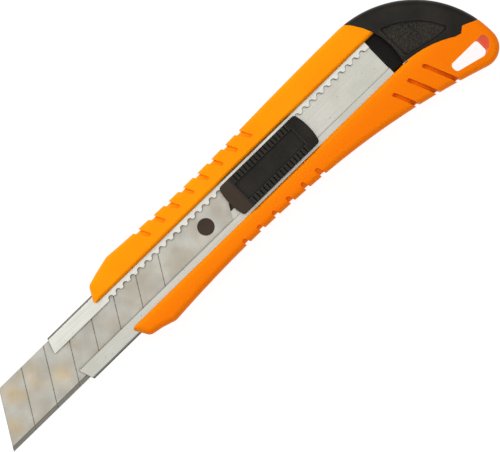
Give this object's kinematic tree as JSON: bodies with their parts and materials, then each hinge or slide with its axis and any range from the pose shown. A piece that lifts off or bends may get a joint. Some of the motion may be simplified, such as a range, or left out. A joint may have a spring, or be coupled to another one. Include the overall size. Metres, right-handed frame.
{
  "type": "snap off knife",
  "caption": "Snap-off utility knife: a scored blade slides in a steel guide inside a moulded handle, is set by a thumb slider with a notch lock, and is snapped in the pull-out end cap.",
  "frame": {"origin": "on the flat back of the handle, on the centre line of the blade guide, near the middle of the handle", "axes": "+X from the blade's tip to the tail, +Y to the spine side, +Z out of the face that the thumb slides on"},
  "size_m": [0.2056, 0.0426, 0.0132],
  "materials": {
    "handle_plastic": "satin orange moulding",
    "guide_steel": "bright zinc plated sheet",
    "blade_steel": "ground tool steel",
    "black_plastic": "fine spark texture",
    "spring_steel": "bright spring strip"
  },
  "bodies": {
    "handle": {"casing": "handle_plastic", "blade_guide": "guide_steel"},
    "slider": {"slide_button": "black_plastic", "slide_carrier": "black_plastic", "blade": "blade_steel"},
    "lock_spring": {"lock_spring": "spring_steel"},
    "end_cap": {"end_cap": "black_plastic"}
  },
  "joints": [
    {"name": "blade_slide", "type": "slide", "parent": "handle", "child": "slider", "axis": [1, 0, 0], "range_m": [-0.04851, 0.03557], "deforming": ["lock_spring"]},
    {"name": "lock_flex", "type": "hinge", "parent": "slider", "child": "lock_spring", "pos_m": [0.015, 0.0027, 0.00653], "axis": [0, 0, 1], "range_deg": [0, 5.5], "stiffness_Nm_per_rad": 0.02, "deforming": ["lock_spring"]},
    {"name": "cap_pull", "type": "slide", "parent": "handle", "child": "end_cap", "axis": [0.7071, 0.7071, 0], "range_m": [0, 0.04]}
  ]
}
